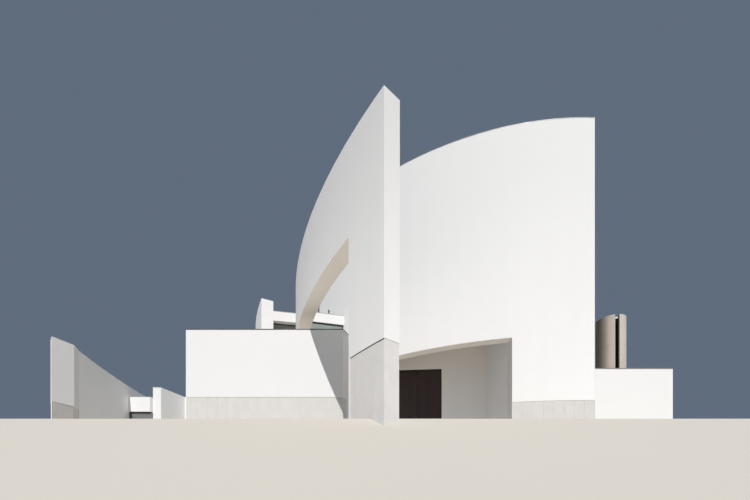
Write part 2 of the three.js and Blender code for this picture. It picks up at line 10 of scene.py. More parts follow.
import bpy
import numpy as np
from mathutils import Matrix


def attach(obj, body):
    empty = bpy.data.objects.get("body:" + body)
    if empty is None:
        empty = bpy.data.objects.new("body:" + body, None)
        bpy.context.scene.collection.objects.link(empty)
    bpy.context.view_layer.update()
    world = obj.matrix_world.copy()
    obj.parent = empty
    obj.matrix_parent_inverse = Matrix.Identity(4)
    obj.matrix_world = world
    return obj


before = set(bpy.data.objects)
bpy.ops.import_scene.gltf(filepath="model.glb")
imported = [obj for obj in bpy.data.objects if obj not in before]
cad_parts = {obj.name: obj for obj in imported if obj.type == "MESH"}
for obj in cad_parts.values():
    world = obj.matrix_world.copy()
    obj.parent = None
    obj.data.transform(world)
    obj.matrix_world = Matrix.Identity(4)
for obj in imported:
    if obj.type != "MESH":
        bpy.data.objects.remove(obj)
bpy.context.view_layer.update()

# --- Camera and light ---
# A level view from the foot of the square's slope, with the frame shifted up so that the walls
# stay upright. The sun stands behind the camera; the sky and one broad soft light, low on the
# left behind the building, fill the shade.
EYE = (-8.77, -29.22, -1.85)
LENS_MM = 17.0
SENSOR_MM = 36.0
SHIFT_UP = 1 / 3
VIEW_REACH = 4800.0
SUN = {"azimuth": 6.0, "elevation": 48.6, "strength": 3.4, "width": 0.6,
       "colour": (1.0, 0.985, 0.965)}
FILL = {"azimuth": -135.0, "elevation": 5.0, "strength": 1.3, "width": 60.0,
        "colour": (1.0, 0.98, 0.96)}
SKY_COLOUR = (0.118, 0.152, 0.205)

scene = bpy.context.scene
camera = bpy.data.objects.new("camera", bpy.data.cameras.new("camera"))
scene.collection.objects.link(camera)
camera.location = EYE
camera.rotation_euler = (math.pi / 2, 0, 0)
camera.data.lens = LENS_MM
camera.data.sensor_width = SENSOR_MM
camera.data.shift_y = SHIFT_UP
camera.data.clip_end = VIEW_REACH
scene.camera = camera
scene.view_settings.view_transform = "Standard"


def distant_light(name, azimuth, elevation, strength, width, colour):
    """A light at an azimuth, 0 from -Y and 90 from +X, an elevation and a width, in degrees."""
    lamp = bpy.data.lights.new(name, "SUN")
    lamp.energy = strength
    lamp.angle = math.radians(width)
    lamp.color = colour
    holder = bpy.data.objects.new(name, lamp)
    holder.rotation_euler = (math.radians(90 - elevation), 0, math.radians(azimuth))
    scene.collection.objects.link(holder)


distant_light("sun", **SUN)
distant_light("fill", **FILL)

world = bpy.data.worlds.new("sky")
world.use_nodes = True
world.node_tree.nodes["Background"].inputs["Color"].default_value = (*SKY_COLOUR, 1)
scene.world = world

# --- Rendered walls ---
# Fine mineral render on masonry, floated by hand and painted white, on every wall of the church.
# The curved walls are struck to templates, so their light runs round without a break.


class Term:
    """A shader socket in a sum: each operator adds the Math node that works it out."""

    def __init__(self, net, socket):
        self.net = net
        self.socket = socket

    def math(self, operation, *values):
        return self.net.add("ShaderNodeMath", {"operation": operation}, dict(enumerate(values)))

    def __add__(self, other):
        return self.math("ADD", self, other)

    def __sub__(self, other):
        return self.math("SUBTRACT", self, other)

    def __rsub__(self, other):
        return self.math("SUBTRACT", other, self)

    def __mul__(self, other):
        return self.math("MULTIPLY", self, other)

    def __truediv__(self, other):
        return self.math("DIVIDE", self, other)

    def __mod__(self, other):
        return self.math("FLOORED_MODULO", self, other)

    def __gt__(self, other):
        return self.math("GREATER_THAN", self, other)

    def __lt__(self, other):
        return self.math("LESS_THAN", self, other)

    def __abs__(self):
        return self.math("ABSOLUTE", self)

    def at_least(self, low):
        return self.math("MAXIMUM", self, low)

    def at_most(self, high):
        return self.math("MINIMUM", self, high)

    __radd__ = __add__
    __rmul__ = __mul__


class Finish:
    """A material and its node tree, with the few nodes that the finishes below share."""

    def __init__(self, name):
        self.material = bpy.data.materials.new(name)
        self.material.use_nodes = True
        self.tree = self.material.node_tree
        self.shader = self.tree.nodes["Principled BSDF"]
        self.place = self.add("ShaderNodeTexCoord", {}, {}, "Object")
        split = self.add("ShaderNodeSeparateXYZ", {}, {0: self.place}).socket.node
        self.x, self.y, self.z = (Term(self, s) for s in split.outputs)
        self.facing = self.add("ShaderNodeNewGeometry", {}, {}, "Normal")
        self.up = self.add("ShaderNodeSeparateXYZ", {}, {0: self.facing}, "Z")

    def add(self, kind, settings, inputs, output=0):
        """Any node: its settings, with a ramp's stops, then the values or links of its inputs."""
        node = self.tree.nodes.new(kind)
        for key, value in settings.items():
            if key == "stops":
                ramp = node.color_ramp.elements
                while len(ramp) < len(value):
                    ramp.new(1)
                for stop, (at, shade) in zip(ramp, value):
                    stop.position = at
                    stop.color = (shade, shade, shade, 1)
            else:
                setattr(node, key, value)
        for key, value in inputs.items():
            if isinstance(value, Term):
                self.tree.links.new(value.socket, node.inputs[key])
            else:
                node.inputs[key].default_value = value
        return Term(self, node.outputs[output])

    def noise(self, scale, detail=2.0, stretch=(1, 1, 1), rough=0.5):
        """Noise between 0 and 1 with so many features to the metre, drawn out along an axis."""
        place = self.add("ShaderNodeMapping", {}, {"Vector": self.place, "Scale": stretch})
        return self.add("ShaderNodeTexNoise", {"noise_dimensions": "3D"},
                        {"Vector": place, "Scale": scale, "Detail": detail, "Roughness": rough})

    def ramp(self, value, *stops):
        return self.add("ShaderNodeValToRGB", {"stops": stops}, {0: value})

    def tint(self, share, first, second):
        """The colour that lies a share of the way from the first to the second."""
        first, second = ((*c, 1) if isinstance(c, tuple) else c for c in (first, second))
        return self.add("ShaderNodeMix", {"data_type": "RGBA"}, {0: share, 6: first, 7: second}, 2)

    def bump(self, height, distance, strength=1.0, normal=None):
        inputs = {"Height": height, "Distance": distance, "Strength": strength}
        if normal is not None:
            inputs["Normal"] = normal
        return self.add("ShaderNodeBump", {}, inputs)

    def set(self, **sockets):
        names = {"colour": "Base Color", "roughness": "Roughness", "metallic": "Metallic",
                 "normal": "Normal", "specular": "Specular IOR Level", "coat": "Coat Weight",
                 "coat_roughness": "Coat Roughness"}
        for key, value in sockets.items():
            socket = self.shader.inputs[names[key]]
            if isinstance(value, Term):
                self.tree.links.new(value.socket, socket)
            else:
                socket.default_value = (*value, 1) if isinstance(value, tuple) else value
        return self.material


FACET_HALF_COSINE = 0.9992


def round_normal(finish, centre):
    """The normal of a true curve on the faces of a many-sided wall round a centre.

    It is the unit vector from the centre's upright axis to the point, with the sign of the
    face, wherever the face turns from it by less than half a facet; other faces keep theirs.
    """
    reach = finish.add("ShaderNodeVectorMath", {"operation": "SUBTRACT"},
                       {0: finish.place, 1: (*centre, 0)})
    level = finish.add("ShaderNodeVectorMath", {"operation": "MULTIPLY"}, {0: reach, 1: (1, 1, 0)})
    radial = finish.add("ShaderNodeVectorMath", {"operation": "NORMALIZE"}, {0: level})
    match = finish.add("ShaderNodeVectorMath", {"operation": "DOT_PRODUCT"},
                       {0: radial, 1: finish.facing}, "Value")
    outward = finish.add("ShaderNodeVectorMath", {"operation": "SCALE"},
                         {0: radial, "Scale": match.math("SIGN", match)})
    return finish.add("ShaderNodeMix", {"data_type": "VECTOR"},
                      {0: abs(match) > FACET_HALF_COSINE, 4: finish.facing, 5: outward}, 1)


# The render is whiter at the foot than at the top, between two heights: painted light from the
# ground.
RENDER_HIGH = (0.855, 0.852, 0.845)
RENDER_LOW = (0.93, 0.925, 0.912)
RENDER_WORN = (0.78, 0.775, 0.76)
# Painted shade for the porch's jamb, and painted warm light from the ground for undersides
RENDER_JAMB_SHADE = (0.76, 0.75, 0.735)
RENDER_UNDER_WARM_LIGHT = (0.905, 0.862, 0.79)
JAMB_REAR = -13.5
FOOT_LIGHT_FADE = (2.5, 12.0)
DUST_TOP = 1.25
FACES_LEFT = -0.99
FACES_DOWN = -0.9
FACES_UP = 0.9
CAP_WHITE = (0.6, 0.6, 0.59)
CAP_SHADOW = (0.3, 0.3, 0.3)
CAP_JOINT = 0.012
CAP_JOINT_PITCH = 2.4


def render_finish(name, centre=None, high=RENDER_HIGH, low=RENDER_LOW, jamb=False):
    """White render: clouded, painted whiter low down as light from the ground, with faint runs and
    dust.

    Undersides are painted warmer, as warm light from the ground, and a wall's top is capped with
    white sheet in lengths. The porch's jamb is painted a shade duller than the wall round the
    corner, as shade.
    """
    f = Finish(name)
    clouds = f.noise(0.3, 4) * 0.5 + f.noise(2.1, 5, rough=0.6) * 0.5
    runs = f.noise(1.6, 4, stretch=(1, 1, 0.07))
    foot = (DUST_TOP - f.z).at_least(0.0) * 0.35 * f.noise(3.0, 4)
    wear = ((clouds - 0.42) * 0.45 + (runs - 0.45) * 0.2 + foot).at_least(0.0).at_most(1.0)
    # Whiter towards the foot: painted light from the ground.
    foot_light = f.add("ShaderNodeMapRange", {}, {0: f.z, 1: FOOT_LIGHT_FADE[0], 2: FOOT_LIGHT_FADE[1]})
    colour = f.tint(wear, f.tint(foot_light, low, high), RENDER_WORN)
    # The porch's jamb, facing -X in front of the porch's rear: painted shade.
    if jamb:
        sideways = f.add("ShaderNodeSeparateXYZ", {}, {0: f.facing}, "X")
        colour = f.tint((sideways < FACES_LEFT) * (f.y < JAMB_REAR), colour, RENDER_JAMB_SHADE)
    # Undersides warmer: painted warm light from the ground.
    colour = f.tint(f.up < FACES_DOWN, colour, RENDER_UNDER_WARM_LIGHT)
    top = f.up > FACES_UP
    joint = ((f.x + f.y) % CAP_JOINT_PITCH) < CAP_JOINT
    colour = f.tint(top, colour, f.tint(joint, CAP_WHITE, CAP_SHADOW))
    grain = f.noise(55.0, 3, rough=0.65)
    float_marks = f.noise(4.5, 3, stretch=(1, 1, 0.6))
    normal = round_normal(f, centre) if centre else f.facing
    normal = f.bump(float_marks, 0.004, 0.35, normal)
    normal = f.bump(grain, 0.0012, 0.3, normal)
    return f.set(colour=colour, roughness=0.82 - top * 0.35, specular=0.3, normal=normal)


def dress(material, *nodes):
    """Gives CAD nodes a material."""
    for name in nodes:
        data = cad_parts[name].data
        data.materials.clear()
        data.materials.append(material)


NAVE_CENTRE = (0.0, 0.0)
FIN_CENTRE = (7.63, -7.27)
RING_CENTRE = (2.979, -1.477)
LEFT_CENTRE = (25.9135, 1.0289)

# Whites set wall by wall to give each its tone under this light: the fin whiter at its foot and
# greyer at its top (painted light), the porch's walls warmer high up (painted warm light from the
# ground), and the porch's side wall, the block and the left pier duller (painted shade).
flat_render = render_finish("render_flat", low=(0.895, 0.89, 0.875))
nave_render = render_finish("render_round_nave", NAVE_CENTRE,
                            high=(0.865, 0.862, 0.852), jamb=True)
fin_render = render_finish("render_round_fin", FIN_CENTRE,
                           high=(0.72, 0.717, 0.71), low=(0.985, 0.98, 0.97))
ring_render = render_finish("render_round_ring", RING_CENTRE)
left_render = render_finish("render_round_left", LEFT_CENTRE)
dress(nave_render, "drum_wall_front", "drum_wall_over_porch", "drum_wall_left",
      "drum_wall_rear_left", "drum_wall_rear")
dress(ring_render, "ring_wall_left", "ring_wall_rear_left", "ring_wall_rear")
dress(fin_render, "fin_pier", "fin_lintel", "fin_rear_wall")
dress(left_render, "left_curved_wall")
dress(render_finish("render_porch", high=(1.0, 0.88, 0.77), low=(0.93, 0.925, 0.915)),
      "porch_wall_right", "porch_wall_left", "porch_wall_over_door", "porch_ceiling")
dress(render_finish("render_porch_side", high=(1.0, 1.0, 1.0), low=(0.82, 0.816, 0.808)),
      "porch_side_wall")
dress(render_finish("render_block", low=(0.862, 0.858, 0.848)),
      "block_front_wall", "block_right_wall", "block_left_wall")
dress(render_finish("render_pier", low=(0.82, 0.815, 0.8)), "left_end_pier")
dress(flat_render, "nave_side_wall", "ring_end_wall", "annex_front_wall", "annex_side_wall",
      "annex_rear_wall", "wing_left_wall", "wing_front_wall", "wing_rear_wall", "lane_lintel")

# --- Floor ---
# A plain pale floor: the level square that the church stands on, and the slope that falls from
# its edge towards the camera. It is palest round the building and darker further out.
SQUARE_EDGE = -19.89
SQUARE_LEVEL = 0.292
SLOPE_FOOT = (-25.66, -3.45)
GROUND_REACH = 2400.0
FLOOR_NEAR = (0.58, 0.54, 0.485)
FLOOR_FAR = (0.31, 0.3, 0.285)
FLOOR_MIDDLE = (-9.0, -1.0)
FLOOR_FADE = (20.0, 75.0)

ground_rows = [(-GROUND_REACH, SLOPE_FOOT[1]), SLOPE_FOOT,
               (SQUARE_EDGE, SQUARE_LEVEL), (GROUND_REACH, SQUARE_LEVEL)]
ground_points = [(x, y, z) for y, z in ground_rows for x in (-GROUND_REACH, GROUND_REACH)]
ground_faces = [(i, i + 1, i + 3, i + 2) for i in range(0, len(ground_points) - 2, 2)]
ground_mesh = bpy.data.meshes.new("ground")
ground_mesh.from_pydata(ground_points, [], ground_faces)
ground = bpy.data.objects.new("ground", ground_mesh)
scene.collection.objects.link(ground)

ground_finish = Finish("ground")
floor_reach = ground_finish.add("ShaderNodeVectorMath", {"operation": "DISTANCE"},
                                {0: ground_finish.place, 1: (*FLOOR_MIDDLE, SQUARE_LEVEL)},
                                "Value")
floor_fade = ground_finish.add("ShaderNodeMapRange", {"interpolation_type": "SMOOTHSTEP"},
                               {0: floor_reach, 1: FLOOR_FADE[0], 2: FLOOR_FADE[1]})
floor_tone = floor_fade + (ground_finish.noise(0.15, 4) - 0.5) * 0.08
ground_mesh.materials.append(ground_finish.set(
    colour=ground_finish.tint(floor_tone, FLOOR_NEAR, FLOOR_FAR), roughness=0.9, specular=0.2,
))

# --- Stone bases ---
# Upright slabs of pale limestone, honed, set on the foot of the walls with open joints and the
# face a little behind the render. A curved wall is faced with flat slabs, each a chord.
STONE_PALE = (0.725, 0.703, 0.672)
STONE_DARKER = 0.83
SLAB_WIDTH = 0.41
SLAB_JOINT = 0.003
SLAB_ARRIS = 0.001
SLAB_PROUD = 0.008
SLAB_TOP = 2.206
FIN_SLAB_TOP = 2.188
NAVE_SLAB_TOP = 2.27
STONE_DUST_TOP = 0.95


def make_piece(name, points, faces, material, body="building", smooth=False):
    """A mesh object at the origin, riding on a body. Its faces are turned outwards.

    The shell's volume is a sixth of the sum of p0 . (p1 x p2) over its triangle fans; where that
    is negative the faces are wound the other way round.
    """
    points = np.asarray(points, float)
    volume = 0.0
    by_size = {}
    for face in faces:
        by_size.setdefault(len(face), []).append(face)
    for size, group in by_size.items():
        group = np.array(group)
        for k in range(1, size - 1):
            a, b, c = (points[group[:, i]] for i in (0, k, k + 1))
            volume += np.einsum("ij,ij->", a, np.cross(b, c))
    if volume < 0:
        faces = [tuple(reversed(face)) for face in faces]
    mesh = bpy.data.meshes.new(name)
    mesh.from_pydata(points.tolist(), [], [tuple(map(int, face)) for face in faces])
    if smooth:
        mesh.shade_smooth()
    else:
        mesh.shade_flat()
    mesh.materials.append(material)
    piece = bpy.data.objects.new(name, mesh)
    scene.collection.objects.link(piece)
    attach(piece, body)
    return piece


def arc(centre, radius, start, end, parts):
    """Plan points at a radius round a centre, from angle to angle in so many equal parts.

    0 degrees lies towards -Y and 90 towards +X: (x, y) = centre + radius (sin a, -cos a).
    """
    a = np.radians(np.linspace(start, end, parts + 1))
    return np.stack([centre[0] + radius * np.sin(a), centre[1] - radius * np.cos(a)], axis=1)


def whole_steps(length, pitch):
    """The whole number of equal steps that fill a length, each nearest to a pitch."""
    return max(1, round(length / pitch))


def run(start, end, pitch):
    """Points on a straight line, in equal steps nearest to a pitch."""
    return np.linspace(start, end, whole_steps(math.dist(start, end), pitch) + 1)


SLAB_FACES = np.array([
    (8, 9, 10, 11), (4, 5, 9, 8), (5, 6, 10, 9), (6, 7, 11, 10), (7, 4, 8, 11),
    (0, 1, 5, 4), (1, 2, 6, 5), (2, 3, 7, 6), (3, 0, 4, 7), (3, 2, 1, 0),
])


def stone_slabs(name, lines, top, seed, finish):
    """Slabs between neighbouring points of plan lines, each with its face on the line's right.

    A slab has three rings of four corners: its back, the foot of its arris and its face. A corner
    is the line's start, or that plus the length along, so deep outwards, at the ground or the top,
    and drawn in towards the slab's middle by half a joint and, on the face, by the arris.
    """
    start = np.concatenate([line[:-1] for line in lines])
    end = np.concatenate([line[1:] for line in lines])
    length = np.linalg.norm(end - start, axis=1)[:, None]
    along = (end - start) / length
    out = np.stack([along[:, 1], -along[:, 0]], axis=1)
    draw = SLAB_JOINT / 2 + SLAB_ARRIS * np.array([0, 0, 1])
    depth = np.array([0, SLAB_PROUD - SLAB_ARRIS, SLAB_PROUD])
    side = np.array([0, 1, 1, 0])
    rise = np.array([0, 0, 1, 1])
    inset = draw[:, None] * (1 - 2 * side)
    place = (start[:, None, None, :]
             + (length * along)[:, None, None, :] * side[None, None, :, None]
             + along[:, None, None, :] * inset[None, :, :, None]
             + out[:, None, None, :] * depth[None, :, None, None])
    z = np.broadcast_to(top * rise + draw[:, None] * (1 - 2 * rise), place.shape[:3])[..., None]
    points = np.concatenate([place, z], axis=3).reshape(-1, 12, 3)
    faces = (SLAB_FACES[None] + 12 * np.arange(len(points))[:, None, None]).reshape(-1, 4)
    piece = make_piece(name, points.reshape(-1, 3), faces.tolist(), finish)
    tone = np.random.default_rng(seed).uniform(0, 1, len(points)).repeat(12)
    piece.data.attributes.new("slab_tone", "FLOAT", "POINT").data.foreach_set("value", tone)


def limestone(name, pale=STONE_PALE, toned=True):
    """Honed limestone, clouded and finely flecked; toned, slab by slab lighter or darker."""
    f = Finish(name)
    tone = 0.5
    if toned:
        tone = f.add("ShaderNodeAttribute", {"attribute_name": "slab_tone"}, {}, "Fac")
    clouds = f.noise(3.2, 5, rough=0.6)
    veins = f.noise(5.0, 6, stretch=(1, 1, 0.35), rough=0.7)
    flecks = f.ramp(f.noise(70.0, 3, rough=0.7), (0.0, 0.0), (0.58, 0.0), (0.72, 1.0))
    foot = (STONE_DUST_TOP - f.z).at_least(0.0) * 0.45 * f.noise(2.4, 4)
    dark = (clouds - 0.4) * 0.7 + (veins - 0.5) * 0.8 + flecks * 0.22 + foot
    dark = (dark + tone * 0.12 + 0.06).at_least(0.0).at_most(1.0)
    colour = f.tint(dark, pale, tuple(STONE_DARKER * c for c in pale))
    normal = f.bump(f.noise(45.0, 4, rough=0.7), 0.001, 0.3, f.facing)
    return f.set(colour=colour, roughness=0.62 + clouds * 0.12, specular=0.35, normal=normal)


slab_limestone = limestone("limestone_slabs")
dress(limestone("limestone_backing", toned=False), "drum_stone_base", "nave_side_stone_base",
      "nave_floor", "fin_stone_base", "block_stone_base", "left_end_stone_base")

DRUM_FACE = 14.565
DRUM_STONE = (-11.81, 1.2576)
drum_slabs = whole_steps(math.radians(DRUM_STONE[1] - DRUM_STONE[0]) * DRUM_FACE, SLAB_WIDTH)
stone_slabs("stone_slabs_drum", [arc(NAVE_CENTRE, DRUM_FACE, *DRUM_STONE, drum_slabs)],
            NAVE_SLAB_TOP, 1, slab_limestone)

# The fin's own angles run from -X towards the square, 90 degrees on from the plan angles here
FIN_STONE = (34.6075 - 90, 38.9087 - 90)
FIN_FACES = (20.785, 20.275)
FIN_SLABS = 4
# The fin's stone is paler than the other slabs: painted light.
FIN_STONE_LIT = (0.83, 0.81, 0.785)
fin_outer, fin_inner = (arc(FIN_CENTRE, radius, *FIN_STONE, FIN_SLABS) for radius in FIN_FACES)
fin_limestone = limestone("limestone_fin", FIN_STONE_LIT)
stone_slabs("stone_slabs_fin", [fin_outer], FIN_SLAB_TOP, 2, fin_limestone)
stone_slabs("stone_slabs_fin_end", [
    np.array([fin_outer[-1], fin_inner[-1]]), fin_inner[::-1],
], SLAB_TOP, 6, fin_limestone)

BLOCK_FACE = (-16.245, -15.205)
BLOCK_CORNER = (-10.05, -15.205)
BLOCK_RETURN = (-9.9367, -14.9147)
stone_slabs("stone_slabs_block", [
    run(BLOCK_FACE, BLOCK_CORNER, SLAB_WIDTH), run(BLOCK_CORNER, BLOCK_RETURN, SLAB_WIDTH),
], SLAB_TOP, 3, slab_limestone)

NAVE_SIDE_FRONT = (0.305, -5.2)
NAVE_SIDE_REAR = (0.305, 14.06)
stone_slabs("stone_slabs_nave_side", [run(NAVE_SIDE_FRONT, NAVE_SIDE_REAR, SLAB_WIDTH)],
            NAVE_SLAB_TOP, 4, slab_limestone)

PIER_TIP = (-22.4505, -14.2472)
PIER_CORNER = (-22.0841, -14.6203)
PIER_INNER = (-21.8863, -13.8269)
# The left pier's stone is darker than the other slabs: painted shade.
PIER_STONE_SHADED = (0.61, 0.59, 0.56)
stone_slabs("stone_slabs_pier", [run(PIER_CORNER, PIER_INNER, SLAB_WIDTH)], SLAB_TOP, 5,
            limestone("limestone_pier", PIER_STONE_SHADED))

# --- Cappings ---
# Folded aluminium over the top of each lower wall, held by hidden clips, its edges turned down
# as drips. On the block it is dark, on the annex and the nave grey, and elsewhere painted white.
CAP_SHEET = 0.002
CAP_DRIP = 0.035
CAP_STAND = 0.004
CAP_LAP = 0.01
FLUSH = -0.004


def sweep(name, path, profile, material, closed=False):
    """A closed profile of (outward, up) points carried along a plan path.

    Point (i, j) is path_i + outward_j * m_i at height up_j, where m_i is the mitre: the sum of the
    unit normals of the two neighbouring runs over one plus their dot product. Outwards is to the
    right of the way the path runs. The two ends of an open path are closed by flat faces.
    """
    path = np.asarray(path, float)
    profile = np.asarray(profile, float)
    steps = np.diff(np.vstack([path, path[:1]]) if closed else path, axis=0)
    steps /= np.linalg.norm(steps, axis=1)[:, None]
    normals = np.stack([steps[:, 1], -steps[:, 0]], axis=1)
    before = np.roll(normals, 1, axis=0) if closed else np.vstack([normals[:1], normals])
    after = normals if closed else np.vstack([normals, normals[-1:]])
    mitre = (before + after) / (1 + (before * after).sum(axis=1))[:, None]
    plan = path[:, None, :] + mitre[:, None, :] * profile[None, :, :1]
    points = np.concatenate([plan, np.broadcast_to(profile[:, 1:], (*plan.shape[:2], 1))], axis=2)
    n, m = plan.shape[:2]
    i = np.arange(n if closed else n - 1)[:, None]
    j = np.arange(m)[None, :]
    ahead, beside = (i + 1) % n, (j + 1) % m
    quads = np.stack(np.broadcast_arrays(i * m + j, i * m + beside, ahead * m + beside,
                                         ahead * m + j), axis=-1).reshape(-1, 4)
    faces = quads.tolist()
    if not closed:
        faces += [list(range(m))[::-1], [(n - 1) * m + k for k in range(m)]]
    make_piece(name, points.reshape(-1, 3), faces, material)


def cap_finish(name, colour, worn):
    """Coated sheet: faint streaks of dirt, laps every so often, a low satin shine."""
    f = Finish(name)
    streaks = f.noise(3.0, 4, stretch=(1, 1, 0.3), rough=0.6)
    lap = ((f.x + f.y) % CAP_JOINT_PITCH) < CAP_LAP
    colour = f.tint(f.ramp(streaks, (0.3, 0.0), (0.75, 1.0)), colour, worn)
    colour = f.tint(lap, colour, tuple(0.4 * c for c in worn))
    return f.set(colour=colour, roughness=0.4 + streaks * 0.2, metallic=0.35,
                 normal=f.bump(f.noise(8.0, 2), 0.002, 0.2, f.facing))


CAP_COATS = {
    "dark": ((0.085, 0.085, 0.09), (0.13, 0.125, 0.12)),
    "grey": ((0.33, 0.33, 0.325), (0.24, 0.235, 0.225)),
    "white": ((0.78, 0.775, 0.765), (0.62, 0.61, 0.59)),
}
cap_dark, cap_grey, cap_white = (
    cap_finish(f"capping_{coat}", *colours) for coat, colours in CAP_COATS.items()
)
END_CLEAR = 0.05


def facets(centre, radius, start, end, step):
    """Plan points of a many-sided wall's face: its corners between two angles, and both ends.

    The corners stand at whole multiples of the step. An end between two of them lies on their
    chord, at radius cos(step / 2) / cos(angle from the chord's middle).
    """
    corners = np.arange(math.ceil(start / step), math.floor(end / step) + 1) * step
    between = corners[(corners > start + END_CLEAR) & (corners < end - END_CLEAR)]
    a = np.concatenate([[start], between, [end]])
    off = np.radians(a - (np.floor(a / step) + 0.5) * step)
    r = radius * math.cos(math.radians(step / 2)) / np.cos(off)
    a = np.radians(a)
    return np.stack([centre[0] + r * np.sin(a), centre[1] - r * np.cos(a)], axis=1)


def capping(name, path, thickness, top, material, outer=CAP_STAND, inner=CAP_STAND):
    """A sheet over a wall's top and down each face that it stands out from, carried along a path.

    Where it is flush it ends just short of the face, with no drip.
    """
    i = -thickness - inner
    section = [(outer, top), (outer + CAP_SHEET, top), (outer + CAP_SHEET, top + CAP_SHEET),
               (i - CAP_SHEET, top + CAP_SHEET), (i - CAP_SHEET, top), (i, top)]
    if outer > 0:
        section[:2] = [(outer, top), (outer, top - CAP_DRIP), (outer + CAP_SHEET, top - CAP_DRIP)]
    if inner > 0:
        section[-2:] = [(i - CAP_SHEET, top - CAP_DRIP), (i, top - CAP_DRIP), (i, top)]
    sweep(name, path, section, material)


THIN_WALL, FREE_WALL, FIN_WALL, RING_WALL = 0.3, 0.5, 0.54, 0.6
BLOCK_WALL = [(-16.245, -7.0), (-16.245, -15.22), (-10.035, -15.22), (-8.735, -11.76)]
BLOCK_TOP = 4.913
ANNEX_WALL = [(0.33, -14.58), (3.54, -14.58), (3.54, -5.2), (0.33, -5.2)]
ANNEX_TOP = 3.6
ANNEX_CAP_STAND = 0.003
capping("capping_block", BLOCK_WALL, THIN_WALL, BLOCK_TOP, cap_dark)
capping("capping_annex", ANNEX_WALL, THIN_WALL, ANNEX_TOP, cap_grey, ANNEX_CAP_STAND)

# Round the nave only a drip is made: a band on the face, level with the wall's top
FACET_DEG = 2.5
NAVE_OUTER = 14.58
NAVE_CURVE = (-179.2, 1.2)
NAVE_TOP = 13.98
NAVE_DRIP_FOOT = 13.948
DRIP_GAP, DRIP_OUT = 0.0005, 0.003
sweep("capping_nave_drip", facets(NAVE_CENTRE, NAVE_OUTER, *NAVE_CURVE, FACET_DEG), [
    (DRIP_GAP, NAVE_DRIP_FOOT), (DRIP_OUT, NAVE_DRIP_FOOT),
    (DRIP_OUT, NAVE_TOP), (DRIP_GAP, NAVE_TOP),
], cap_grey)

FIN_FACET_DEG = 2.0
FIN_OUTER = 20.8
FIN_CURVE = (-94.9, -51.1)
RING_OUTER = 20.0
RING_CURVE = (-172.3, -61.7)
RING_END_WALL = [(0.32, 14.6), (0.32, 17.7)]
HIGH_TOP = 8.55
capping("capping_fin", facets(FIN_CENTRE, FIN_OUTER, *FIN_CURVE, FIN_FACET_DEG),
        FIN_WALL, HIGH_TOP, cap_white, FLUSH, FLUSH)
capping("capping_ring", facets(RING_CENTRE, RING_OUTER, *RING_CURVE, FACET_DEG),
        RING_WALL, HIGH_TOP, cap_white, FLUSH, FLUSH)
capping("capping_ring_end", RING_END_WALL, THIN_WALL, HIGH_TOP, cap_white, FLUSH, FLUSH)

# The caps of the lane's two side walls drip on the faces towards the lane
LEFT_OUTER = 50.6148
LEFT_CURVE = (-82.055, -73.469)
LEFT_PARTS = 8
WING_WALL = [(-20.5774, 0.0), (-22.03, -8.07), (-21.58, -8.02)]
WING_TOP = 4.89
LANE_CAP_STAND = 0.002
capping("capping_left_wall", arc(LEFT_CENTRE, LEFT_OUTER, *LEFT_CURVE, LEFT_PARTS),
        FREE_WALL, WING_TOP, cap_white, FLUSH, LANE_CAP_STAND)
capping("capping_wing", WING_WALL, THIN_WALL, WING_TOP, cap_white, LANE_CAP_STAND, LANE_CAP_STAND)

# --- Roofs ---
# Flat slabs under grey gravel, with the membrane turned up at the parapets. Between the nave and
# the ambulatory wall the slab's front edge and soffit are rendered white; two vents rise there.
GRAVEL_PALE = (0.56, 0.55, 0.53)
GRAVEL_DARK = (0.34, 0.335, 0.32)
CHIPS_PALE = (0.87, 0.81, 0.73)
CHIPS_DARK = (0.74, 0.68, 0.6)
PEBBLES_TO_THE_METRE = 26.0


def gravel(name, pale, dark, edged=False):
    """Washed gravel, pebble by pebble; an edged slab's sides and underside are white render."""
    f = Finish(name)
    cells = {"Vector": f.place, "Scale": PEBBLES_TO_THE_METRE}
    pebbles = f.add("ShaderNodeTexVoronoi", {"feature": "F1"}, cells)
    shade = f.add("ShaderNodeTexVoronoi", {"feature": "F1"}, cells, "Color")
    tone = f.add("ShaderNodeSeparateXYZ", {}, {0: shade}, "X")
    patches = f.noise(0.7, 5, rough=0.6)
    colour = f.tint(tone * 0.5 + patches * 0.5, pale, dark)
    normal = f.bump(1 - pebbles, 0.012, 0.6, f.facing)
    if edged:
        top = f.up > 0.5
        colour = f.tint(top, RENDER_HIGH, colour)
        normal = f.add("ShaderNodeMix", {"data_type": "VECTOR"},
                       {0: top, 4: f.facing, 5: normal}, 1)
    return f.set(colour=colour, roughness=0.9, specular=0.25, normal=normal)


dress(gravel("roof_gravel", GRAVEL_PALE, GRAVEL_DARK), "nave_roof", "annex_roof", "wing_roof")
dress(gravel("block_roof_chips", CHIPS_PALE, CHIPS_DARK), "block_roof")
dress(gravel("ring_roof_gravel", GRAVEL_PALE, GRAVEL_DARK, edged=True),
      "ring_roof_left", "ring_roof_right")

UPSTAND_RISE = 0.2
UPSTAND_DEPTH = 0.012
UPSTAND_SPLAY = 0.05
UPSTAND_BACK = THIN_WALL + 0.002
UPSTAND_COLOUR = (0.17, 0.17, 0.172)


def membrane(name, colour):
    """Bituminous sheet: a dark grey felt with runs of dust and a slightly lumpy surface."""
    f = Finish(name)
    streaks = f.noise(4.0, 4, stretch=(1, 1, 0.3))
    return f.set(colour=f.tint(streaks, colour, tuple(1.5 * c for c in colour)),
                 roughness=0.6 + streaks * 0.2,
                 normal=f.bump(f.noise(14.0, 3), 0.003, 0.4, f.facing))


upstand_finish = membrane("upstand_membrane", UPSTAND_COLOUR)


def upstand(name, path, level, back=0.0, closed=False):
    """Membrane turned up a parapet, with a splayed foot: a strip so far behind the path."""
    face = -back - UPSTAND_DEPTH
    sweep(name, path, [
        (-back, level), (face - UPSTAND_SPLAY, level), (face, level + UPSTAND_SPLAY),
        (face, level + UPSTAND_RISE), (-back, level + UPSTAND_RISE),
    ], upstand_finish, closed)


